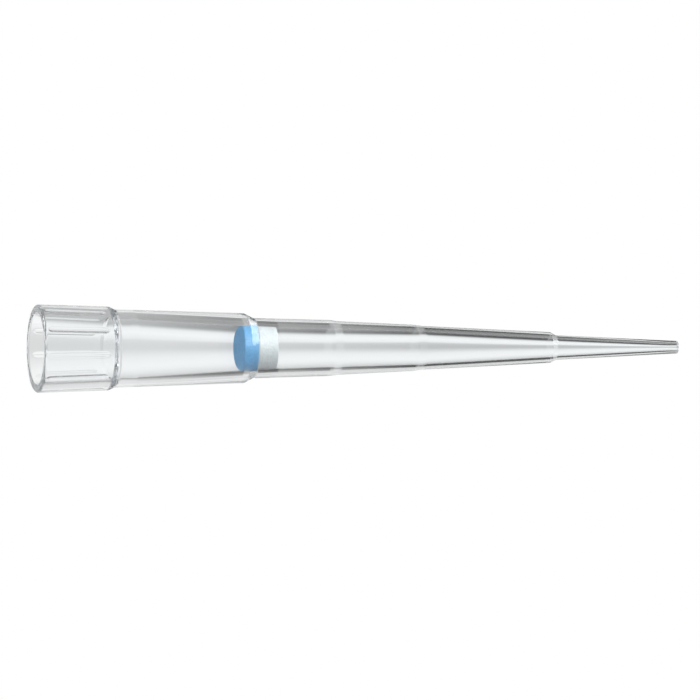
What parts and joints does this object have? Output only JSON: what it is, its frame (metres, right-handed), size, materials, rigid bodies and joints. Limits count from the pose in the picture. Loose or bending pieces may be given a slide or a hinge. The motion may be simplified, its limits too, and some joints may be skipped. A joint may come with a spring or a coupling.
{
  "type": "filter pipette tip",
  "caption": "Clear conical pipette tip with a ribbed socket collar, a stepped cone and a porous two-layer filter plug pressed into its bore, standing on its mouth.",
  "frame": {"origin": "centre of the mouth's rim, on the floor that the tip stands on", "axes": "+Z along the tip's axis, from the mouth up to the point"},
  "size_m": [0.0072, 0.0072, 0.055],
  "materials": {
    "clear_polypropylene": "clear, glossy, as moulded",
    "blue_filter": "matt sintered porous polyethylene, dyed blue",
    "white_filter": "matt sintered porous polyethylene, undyed"
  },
  "bodies": {
    "root": {"tip_body": "clear_polypropylene", "filter_blue_layer": "blue_filter", "filter_white_layer": "white_filter"}
  },
  "joints": []
}
